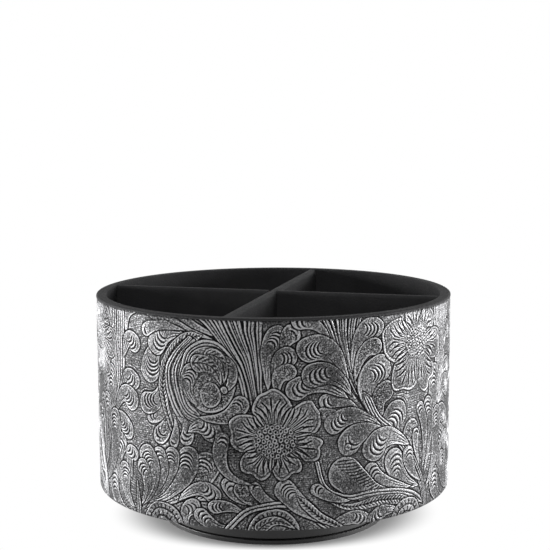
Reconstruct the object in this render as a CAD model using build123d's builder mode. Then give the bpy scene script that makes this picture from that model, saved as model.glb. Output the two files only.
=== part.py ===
"""Rotating desk and remote control holder.

A leatherette-covered round tub with crossed dividers turns on a moulded ball-bearing turntable.
Millimetres, +Z up. The origin is the middle of the face that the holder stands on. The dividers
lie along X and Y.
"""

import os
from math import sqrt

from build123d import *

# Tub, outside
body_diameter = 160.0
body_height = 87.4
core_thickness = 3.0
skin_thickness = 1.0
skin_corner_round = 1.5
hem_width = 9.0
hem_clearance = 0.2

# Tub, inside
lining_thickness = 0.6
floor_thickness = 3.0
floor_pad_thickness = 0.8
floor_pad_clearance = 0.2

# Rim binding
rim_thickness = 1.0
rim_round = 0.8
rim_outer_leg = 0.9
rim_inner_leg = 10.0

# Dividers
divider_board_thickness = 3.0
divider_cover_thickness = 0.5
divider_top_round = 1.0
divider_drop = 0.2
divider_end_clearance = 0.1
lap_clearance = 0.1

# Turntable foot
foot_diameter = 102.0
foot_flange_thickness = 1.9
foot_floor_thickness = 2.6
foot_edge_round = 0.3
foot_hub_radius = 8.0
foot_hub_floor = 2.4
pad_thickness = 1.6
pad_proud = 0.3
pad_border = 1.5
pad_clearance = 0.1

# Turntable top
skirt_setback = 0.3
skirt_wall = 2.5
skirt_edge_round = 0.3
skirt_gap = 0.5
skirt_side_clearance = 1.0
plate_thickness = 3.0
hub_wall = 3.0
hub_web = 3.0
hub_gap = 0.3
rib_count = 8
rib_thickness = 2.0
rib_depth = 2.5

# Ball bearing
ball_diameter = 5.0
ball_count = 14
race_depth = 1.0
race_land = 2.4
race_clearance = 0.04
cage_land = 1.6
cage_thickness = 1.8
cage_pocket_clearance = 0.15

# Pivot
bolt_radius = 2.5
bolt_head_radius = 4.75
bolt_head_height = 2.8
bolt_head_clearance = 0.15
bolt_end = 0.4
bolt_top_room = 0.5
bush_wall = 1.5
bush_proud = 0.2
running_clearance = 0.05
pivot_play = 0.1
washer_radius = 5.5
washer_thickness = 0.8
nut_across_flats = 8.0
nut_height = 3.4
nut_pocket_clearance = 1.6

# Screws that hold the turntable to the tub
screw_count = 4
screw_radius = 1.5
screw_head_radius = 3.2
screw_tip_clearance = 0.4
screw_hole_clearance = 0.25
screw_boss_radius = 3.2
screw_boss_depth = 5.0
screw_boss_gap = 1.0
first_screw_angle = 45.0

# Heights of the foot and the ball bearing, worked out from the standing face upwards
ball_radius = ball_diameter / 2
foot_bottom = pad_proud
flange_top = foot_bottom + foot_flange_thickness
skirt_bottom = flange_top + skirt_gap
recess_top = pad_thickness
foot_top = recess_top + foot_floor_thickness
ball_height = foot_top - race_depth + ball_radius
race_face = ball_height + ball_radius - race_depth

# Heights of the pivot stack, which sets how tall the turntable is
head_seat = recess_top + bolt_head_clearance + bolt_head_height
foot_hub_top = head_seat + foot_hub_floor
web_bottom = foot_hub_top + hub_gap
web_top = web_bottom + hub_web
bush_top = web_top + bush_proud
washer_bottom = bush_top + pivot_play
nut_bottom = washer_bottom + washer_thickness
nut_top = nut_bottom + nut_height
bolt_top = nut_top + bolt_end
base_top = bolt_top + bolt_top_room
plate_bottom = base_top - plate_thickness

# Heights of the tub
tub_bottom = base_top
core_bottom = tub_bottom + skin_thickness
floor_top = core_bottom + floor_thickness
rim_top = tub_bottom + body_height
core_top = rim_top - rim_thickness
skin_top = rim_top - rim_outer_leg
lining_top = rim_top - rim_inner_leg
divider_top = rim_top - divider_drop
divider_middle = (floor_top + divider_top) / 2

# Radii of the tub
skin_radius = body_diameter / 2
core_radius = skin_radius - skin_thickness
core_inner_radius = core_radius - core_thickness
lining_radius = core_inner_radius - lining_thickness
hem_radius = core_radius - hem_width

# Radii of the turntable, worked out from its edge inwards
foot_radius = foot_diameter / 2
skirt_radius = foot_radius - skirt_setback
skirt_inner_radius = skirt_radius - skirt_wall
foot_step_radius = skirt_inner_radius - skirt_side_clearance
pad_radius = foot_step_radius - pad_border
screw_circle_radius = skirt_inner_radius - screw_boss_gap - screw_boss_radius
race_ring_outer = screw_circle_radius - screw_boss_radius - screw_boss_gap
race_radius = race_ring_outer - race_land - ball_radius
race_ring_inner = race_radius - ball_radius - race_land
race_groove = ball_radius + race_clearance
bush_radius = bolt_radius + running_clearance + bush_wall
nut_pocket_radius = max(washer_radius, nut_across_flats / sqrt(3)) + nut_pocket_clearance
hub_radius = nut_pocket_radius + hub_wall

# Sizes of the dividers
divider_thickness = divider_board_thickness + 2 * divider_cover_thickness
divider_half_length = sqrt(lining_radius**2 - (divider_thickness / 2) ** 2) - divider_end_clearance
lap_width = divider_thickness + 2 * lap_clearance
screw_bottom = plate_bottom - screw_boss_depth + screw_tip_clearance
screw_head_depth = screw_head_radius - screw_radius


def ring(inner_radius, outer_radius, bottom, top, mode=Mode.ADD):
    """A plain ring, or a disc where the inner radius is 0, between two heights."""
    with BuildSketch(Plane.XY.offset(bottom)) as outline:
        Circle(outer_radius)
        if inner_radius > 0:
            Circle(inner_radius, mode=Mode.SUBTRACT)
    extrude(outline.sketch, amount=top - bottom, mode=mode)


def turned(points, mode=Mode.ADD):
    """A solid turned about the Z axis from a closed outline of (radius, height) points."""
    with BuildSketch(Plane.XZ) as outline:
        with BuildLine():
            Polyline(*points, close=True)
        make_face()
    revolve(outline.sketch, axis=Axis.Z, mode=mode)


def race_cut():
    """The round groove that the balls run in."""
    with BuildSketch(Plane.XZ) as outline:
        with Locations((race_radius, ball_height)):
            Circle(race_groove)
    revolve(outline.sketch, axis=Axis.Z, mode=Mode.SUBTRACT)


def edges_at(part, radius, height):
    """The round edges of a turned part with this radius at this height."""
    circles = part.edges().filter_by(GeomType.CIRCLE)
    level = circles.filter_by(lambda edge: abs(edge.center().Z - height) < 1e-4)
    return level.filter_by(lambda edge: abs(edge.radius - radius) < 1e-4)


def lap_cut(along_x, bottom, top):
    """The open slot at the middle of one divider that the other divider drops into."""
    length, width = (lap_width, divider_thickness) if along_x else (divider_thickness, lap_width)
    with BuildSketch(Plane.XY.offset(bottom)) as outline:
        Rectangle(length, width)
    extrude(outline.sketch, amount=top - bottom, mode=Mode.SUBTRACT)


def divider_plank(along_x, thickness, top, top_round):
    """An upright plank between the walls, with its two long top edges rounded."""
    length = 2 * divider_half_length
    with BuildSketch(Plane.XY.offset(floor_top)) as outline:
        Rectangle(*((length, thickness) if along_x else (thickness, length)))
    plank = extrude(outline.sketch, amount=top - floor_top)
    top_edges = plank.edges().group_by(Axis.Z)[-1]
    fillet(top_edges.filter_by(Axis.X if along_x else Axis.Y), top_round)


def divider_board(along_x):
    """The bare board of one divider, slotted from above along X and from below along Y."""
    with BuildPart() as board:
        board_top = divider_top - divider_cover_thickness
        divider_plank(along_x, divider_board_thickness, board_top, divider_top_round)
        if along_x:
            lap_cut(along_x, divider_middle, divider_top)
        else:
            lap_cut(along_x, floor_top, divider_middle + lap_clearance)
    return board


def divider_cover(along_x):
    """The leatherette folded over one divider's board, down both of its sides."""
    with BuildPart() as cover:
        cover_round = divider_top_round + divider_cover_thickness
        divider_plank(along_x, divider_thickness, divider_top, cover_round)
        if along_x:
            lap_cut(along_x, divider_middle, divider_top)
        else:
            lap_cut(along_x, floor_top, divider_middle + lap_clearance)
        add(divider_board(along_x).part, mode=Mode.SUBTRACT)
    return cover


# Anti-slip pad under the foot
with BuildPart() as anti_slip_pad:
    ring(0, pad_radius, 0, pad_thickness)
anti_slip_pad.part.label = "anti_slip_pad"

# Turntable foot: a flanged dish with the lower race and a hub for the pivot bolt
with BuildPart() as turntable_foot:
    turned([
        (0, foot_bottom),
        (foot_radius, foot_bottom),
        (foot_radius, flange_top),
        (foot_step_radius, flange_top),
        (foot_step_radius, foot_top),
        (foot_hub_radius, foot_top),
        (foot_hub_radius, foot_hub_top),
        (0, foot_hub_top),
    ])
    ring(0, pad_radius + pad_clearance, foot_bottom, recess_top, Mode.SUBTRACT)
    ring(0, bolt_head_radius + bolt_head_clearance, recess_top, head_seat, Mode.SUBTRACT)
    ring(0, bolt_radius, head_seat, foot_hub_top, Mode.SUBTRACT)
    race_cut()
    fillet(edges_at(turntable_foot.part, foot_radius, flange_top), foot_edge_round)
    fillet(edges_at(turntable_foot.part, foot_step_radius, foot_top), foot_edge_round)
turntable_foot.part.label = "turntable_foot"

# Pivot bolt, with its head in the foot and its thread up through the top
with BuildPart() as pivot_bolt:
    ring(0, bolt_head_radius, head_seat - bolt_head_height, head_seat)
    ring(0, bolt_radius, head_seat, bolt_top)
    chamfer(edges_at(pivot_bolt.part, bolt_radius, bolt_top), bolt_end)
    fillet(edges_at(pivot_bolt.part, bolt_head_radius, head_seat - bolt_head_height), bolt_end)
pivot_bolt.part.label = "pivot_bolt"

# Washer and lock nut that keep the top from lifting off
with BuildPart() as pivot_washer:
    ring(bolt_radius + running_clearance, washer_radius, washer_bottom, nut_bottom)
pivot_washer.part.label = "pivot_washer"

with BuildPart() as pivot_lock_nut:
    with BuildSketch(Plane.XY.offset(nut_bottom)):
        RegularPolygon(nut_across_flats / 2, 6, major_radius=False)
        Circle(bolt_radius, mode=Mode.SUBTRACT)
    extrude(amount=nut_height)
pivot_lock_nut.part.label = "pivot_lock_nut"

# Bearing balls, and the cage that spaces them out
with BuildPart() as bearing_balls:
    with Locations((0, 0, ball_height)):
        with PolarLocations(race_radius, ball_count):
            Sphere(ball_radius)
bearing_balls.part.label = "bearing_balls"

with BuildPart() as ball_cage:
    cage_bottom = ball_height - cage_thickness / 2
    cage_half_width = ball_radius + cage_land
    with BuildSketch(Plane.XY.offset(cage_bottom)):
        Circle(race_radius + cage_half_width)
        Circle(race_radius - cage_half_width, mode=Mode.SUBTRACT)
        with PolarLocations(race_radius, ball_count):
            Circle(ball_radius + cage_pocket_clearance, mode=Mode.SUBTRACT)
    extrude(amount=cage_thickness)
ball_cage.part.label = "ball_cage"

# Turntable top: a skirted plate with the upper race, the pivot hub, ribs and screw bosses
with BuildPart() as turntable_top:
    ring(0, skirt_radius, plate_bottom, base_top)
    ring(skirt_inner_radius, skirt_radius, skirt_bottom, plate_bottom)
    ring(race_ring_inner, race_ring_outer, race_face, plate_bottom)
    ring(0, hub_radius, web_bottom, plate_bottom)
    rib_middle = (hub_radius + race_ring_inner) / 2
    with BuildSketch(Plane.XY.offset(plate_bottom - rib_depth)):
        with PolarLocations(rib_middle, rib_count):
            Rectangle(race_ring_inner - hub_radius + rib_thickness, rib_thickness)
        Circle((hub_radius + nut_pocket_radius) / 2, mode=Mode.SUBTRACT)
    extrude(amount=rib_depth)
    with BuildSketch(Plane.XY.offset(plate_bottom - screw_boss_depth)):
        with PolarLocations(screw_circle_radius, screw_count, start_angle=first_screw_angle):
            Circle(screw_boss_radius)
    extrude(amount=screw_boss_depth)
    ring(0, nut_pocket_radius, web_top, base_top, Mode.SUBTRACT)
    ring(0, bush_radius, web_bottom, web_top, Mode.SUBTRACT)
    race_cut()
    with BuildSketch(Plane.XY.offset(base_top)):
        with PolarLocations(screw_circle_radius, screw_count, start_angle=first_screw_angle):
            Circle(screw_radius)
    extrude(amount=screw_bottom - base_top, mode=Mode.SUBTRACT)
    fillet(edges_at(turntable_top.part, skirt_radius, skirt_bottom), skirt_edge_round)
turntable_top.part.label = "turntable_top"

# Bush that turns on the pivot bolt
with BuildPart() as pivot_bush:
    ring(bolt_radius + running_clearance, bush_radius, web_bottom, bush_top)
pivot_bush.part.label = "pivot_bush"

# Screws from the tub's floor into the turntable's bosses
with BuildPart() as turntable_screws:
    screw_outline = [
        (0, screw_bottom),
        (screw_radius, screw_bottom + screw_radius),
        (screw_radius, floor_top - screw_head_depth),
        (screw_head_radius, floor_top),
        (0, floor_top),
    ]
    with BuildSketch(Plane.XZ, mode=Mode.PRIVATE) as screw_half:
        with BuildLine():
            Polyline(*screw_outline, close=True)
        make_face()
    one_screw = revolve(screw_half.sketch, axis=Axis.Z, mode=Mode.PRIVATE)
    with PolarLocations(screw_circle_radius, screw_count, start_angle=first_screw_angle):
        add(one_screw)
turntable_screws.part.label = "turntable_screws"

# Cover under the tub, inside the skin's turned-under hem
with BuildPart() as underside_cover:
    ring(0, hem_radius - hem_clearance, tub_bottom, core_bottom)
    with BuildSketch(Plane.XY.offset(tub_bottom)):
        with PolarLocations(screw_circle_radius, screw_count, start_angle=first_screw_angle):
            Circle(screw_radius + screw_hole_clearance)
    extrude(amount=skin_thickness, mode=Mode.SUBTRACT)
underside_cover.part.label = "underside_cover"

# Floor board, countersunk for the screws
with BuildPart() as floor_board:
    ring(0, core_inner_radius, core_bottom, floor_top)
    with Locations((0, 0, floor_top)):
        with PolarLocations(screw_circle_radius, screw_count, start_angle=first_screw_angle):
            CounterSinkHole(
                radius=screw_radius + screw_hole_clearance,
                counter_sink_radius=screw_head_radius,
                counter_sink_angle=90,
            )
floor_board.part.label = "floor_board"

# Rolled board tube that carries the wall
with BuildPart() as wall_core:
    ring(core_inner_radius, core_radius, core_bottom, core_top)
wall_core.part.label = "wall_core"

# Tooled leatherette skin, turned under at the bottom
with BuildPart() as outer_skin:
    turned([
        (core_radius, core_bottom),
        (hem_radius, core_bottom),
        (hem_radius, tub_bottom),
        (skin_radius, tub_bottom),
        (skin_radius, skin_top),
        (core_radius, skin_top),
    ])
    fillet(edges_at(outer_skin.part, skin_radius, tub_bottom), skin_corner_round)
outer_skin.part.label = "outer_skin"

# Lining of the wall
with BuildPart() as inner_lining:
    ring(lining_radius, core_inner_radius, floor_top, lining_top)
inner_lining.part.label = "inner_lining"

# Binding folded over the rim
with BuildPart() as rim_binding:
    turned([
        (lining_radius, lining_top),
        (core_inner_radius, lining_top),
        (core_inner_radius, core_top),
        (core_radius, core_top),
        (core_radius, skin_top),
        (skin_radius, skin_top),
        (skin_radius, rim_top),
        (lining_radius, rim_top),
    ])
    fillet(edges_at(rim_binding.part, skin_radius, rim_top), rim_round)
    fillet(edges_at(rim_binding.part, lining_radius, rim_top), rim_round)
rim_binding.part.label = "rim_binding"

# Floor pads, one in each compartment
with BuildPart() as floor_pads:
    ring(0, lining_radius - floor_pad_clearance, floor_top, floor_top + floor_pad_thickness)
    divider_room = divider_thickness + 2 * floor_pad_clearance
    with BuildSketch(Plane.XY.offset(floor_top)):
        Rectangle(body_diameter, divider_room)
        Rectangle(divider_room, body_diameter)
    extrude(amount=floor_pad_thickness, mode=Mode.SUBTRACT)
floor_pads.part.label = "floor_pads"

# Crossed dividers
divider_x_board = divider_board(along_x=True)
divider_x_board.part.label = "divider_x_board"
divider_x_cover = divider_cover(along_x=True)
divider_x_cover.part.label = "divider_x_cover"
divider_y_board = divider_board(along_x=False)
divider_y_board.part.label = "divider_y_board"
divider_y_cover = divider_cover(along_x=False)
divider_y_cover.part.label = "divider_y_cover"

os.makedirs("parts", exist_ok=True)
for piece in (
    anti_slip_pad,
    turntable_foot,
    pivot_bolt,
    pivot_washer,
    pivot_lock_nut,
    bearing_balls,
    ball_cage,
    turntable_top,
    pivot_bush,
    turntable_screws,
    underside_cover,
    floor_board,
    wall_core,
    outer_skin,
    inner_lining,
    rim_binding,
    floor_pads,
    divider_x_board,
    divider_x_cover,
    divider_y_board,
    divider_y_cover,
):
    export_step(piece.part, f"parts/{piece.part.label}.step")

print("base height", round(base_top, 3), "rim height", round(rim_top, 3), "race radius", round(race_radius, 3))
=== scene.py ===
"""Dresses the solids of a rotating desk holder: tooled skin, black leatherette, moulded turntable, stage."""
import math
from typing import NamedTuple

import bpy
import numpy as np
from mathutils import Matrix, Vector


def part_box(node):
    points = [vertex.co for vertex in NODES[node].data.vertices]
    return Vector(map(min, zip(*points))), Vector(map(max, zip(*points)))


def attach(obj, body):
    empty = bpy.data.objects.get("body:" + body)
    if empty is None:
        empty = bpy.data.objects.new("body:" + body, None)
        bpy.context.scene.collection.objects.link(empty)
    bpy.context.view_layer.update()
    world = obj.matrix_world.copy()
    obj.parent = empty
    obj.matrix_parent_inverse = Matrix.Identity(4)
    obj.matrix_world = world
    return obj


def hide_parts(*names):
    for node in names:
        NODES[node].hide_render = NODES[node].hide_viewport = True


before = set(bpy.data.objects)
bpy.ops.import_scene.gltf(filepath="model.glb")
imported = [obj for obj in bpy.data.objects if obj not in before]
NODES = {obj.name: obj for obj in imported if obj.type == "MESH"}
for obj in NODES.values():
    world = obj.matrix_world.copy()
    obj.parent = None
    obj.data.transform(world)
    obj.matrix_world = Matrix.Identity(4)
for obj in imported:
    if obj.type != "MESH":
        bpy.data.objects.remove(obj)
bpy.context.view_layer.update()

bl_info = {
    "name": "Rotating Desk Holder",
    "version": (1, 0, 0),
    "blender": (4, 5, 0),
    "location": "View3D > Sidebar > Holder",
    "description": "Dresses the packed solids of a rotating desk holder and sets its stage",
    "category": "Object",
}

MM = 0.001


def node_span(name):
    """Lowest z, highest z and outer radius of a node, in millimetres."""
    low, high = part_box(name)
    return tuple(round(x / MM, 2) for x in (low.z, high.z, high.x))


SKIN_BOTTOM, SKIN_TOP, SKIN_RADIUS = node_span("outer_skin")
SKIN_HEIGHT = SKIN_TOP - SKIN_BOTTOM
HEM_TOP, _, SKIN_INNER_RADIUS = node_span("wall_core")
HEM_GAP = 0.2
HEM_INNER_RADIUS = node_span("underside_cover")[2] + HEM_GAP
HEM_ROUND = 1.5
HEM_ROWS = 4
RIM_TOP, RIM_RADIUS = node_span("rim_binding")[1:]

# The ornament is drawn on the unrolled skin, in millimetres: u runs round from the side that faces the
# camera, v runs up from the lower edge, and one tile repeats round the tub
REPEATS = 3
PANELS = 10
TILE_WIDTH = 2 * math.pi * SKIN_RADIUS / REPEATS
TILE_COLUMNS = 720
WALL_ROWS = 380
SEED = 7

# The tooling's heights, depths, widths and pitches, in millimetres
GROUND = -0.10
CROWN = 0.10
CROWN_REACH = 1.2
CUT = 0.40
CUT_WIDTH = 0.22
BEVEL = 0.05
BEVEL_REACH = 0.7
MARK = 0.34
MARK_WIDTH = 0.26
CRESCENT_PITCH = 1.75
MATTING = 0.045
ECHO = 1.35
HATCH = 0.04
HATCH_PITCH = 0.95
HATCH_DRIFT = 1.5
SWAY = 0.17
DEEPEST = -0.55
PROUD = 0.34

# A burr's height as a share of its cut's depth, and how far a slanted mark runs on for each step across
BURR = 0.42
SLANT = 1.1

# Shares of a lobe's width: its root, a crescent's radius, the crescents' shift to the hollow side, and how
# far the first one lies past the rib's end
ROOT_SHARE = 0.28
CRESCENT = 0.68
CRESCENT_SHIFT = 0.2
CRESCENT_LEAD = 0.35

# A lobe's crescents: the most there are, the share of the rib that they take at most, how much smaller each
# one is as a share of the first, and how far their pitch differs from lobe to lobe
MOST_CRESCENTS = 4
CRESCENT_RUN = 0.6
CRESCENT_SHRINK = 0.1
CRESCENT_SPREAD = 0.2

# A lobe with this many crescents is full, and has ribs from its root: their places across it and ends along
# it, as shares
FULL_LOBE = 3
LOBE_RIBS = ((-0.5, 0.62), (0.0, 0.5), (0.5, 0.72))

# The rub of the skin's finish, in millimetres of height: where ink turns to pewter, where pewter turns
# bright, and how far patches and specks move them
INK_TO_PEWTER = (-0.12, 0.02)
PEWTER_TO_BRIGHT = (0.05, 0.19)
PATCHES = (-0.05, 0.05)
SPECKS = (-0.10, 0.10)

# Bake map of a skin panel: spans of its outer rows, its inner rows and its closed ends
BAKE_ACROSS = (0.02, 0.94)
BAKE_OUTER = (0.10, 0.99)
BAKE_INNER = (0.09, 0.03)
BAKE_CLOSE = 0.02
BAKE_ENDS = (0.955, 0.975)
BAKE_END_WIDTH = 0.008

# Pewter specks on the rim's outer edge: how far inside its radius they start and are full, and how far
# below its top they are full and end
SPECK_EDGE = (0.5, 0.2)
SPECK_DROP = (1.2, 0.4)

# Studio, in metres: the floor, where the painted fade of the shadow on it starts and ends in front and at the
# sides, and the softboxes with their turn from the camera in degrees, size, distance and height
FLOOR_RADIUS = 4.0
FLOOR_RINGS = 9
FLOOR_SIDES = 64
SHADOW_START = 0.051
SHADOW_END_FRONT = 0.059
SHADOW_END_SIDE = 0.077
AIM = (0.0, 0.0, 0.05)
SOFTBOXES = (
    ("left_softbox", "side_power", -96, (0.6, 0.3), 0.9, 0.10),
    ("right_softbox", "side_power", 96, (0.6, 0.3), 0.9, 0.10),
    ("front_softbox", "front_power", 0, (0.5, 0.3), 1.0, 0.65),
    ("top_softbox", "top_power", 0, (0.7, 0.7), 0.0, 1.0),
)


class Lobe(NamedTuple):
    """A rounded leaf lobe on a curved rib, with crescents stacked behind its tip."""
    root: tuple
    bend: tuple
    tip: tuple
    width: float
    crescents: int = 0
    fill: str = "plain"


class Band(NamedTuple):
    """A stem or scroll band through points, with lines along it or herringbone across it."""
    points: tuple
    width: float
    lines: int = 0
    herringbone: bool = False
    end_width: float = 0.5


class Fan(NamedTuple):
    """Long blades side by side between two edge curves, each given by four points."""
    left: tuple
    right: tuple
    blades: int


class Flower(NamedTuple):
    """An open flower with a beaded middle. Each petal has the angle where it starts and its reach."""
    centre: tuple
    petals: tuple
    eye: tuple


class Oval(NamedTuple):
    """An oval leaf or, at the lower edge, a shell with ticks between its rings."""
    centre: tuple
    axes: tuple
    rings: int = 0
    ticks: int = 0
    fill: str = "plain"


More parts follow.
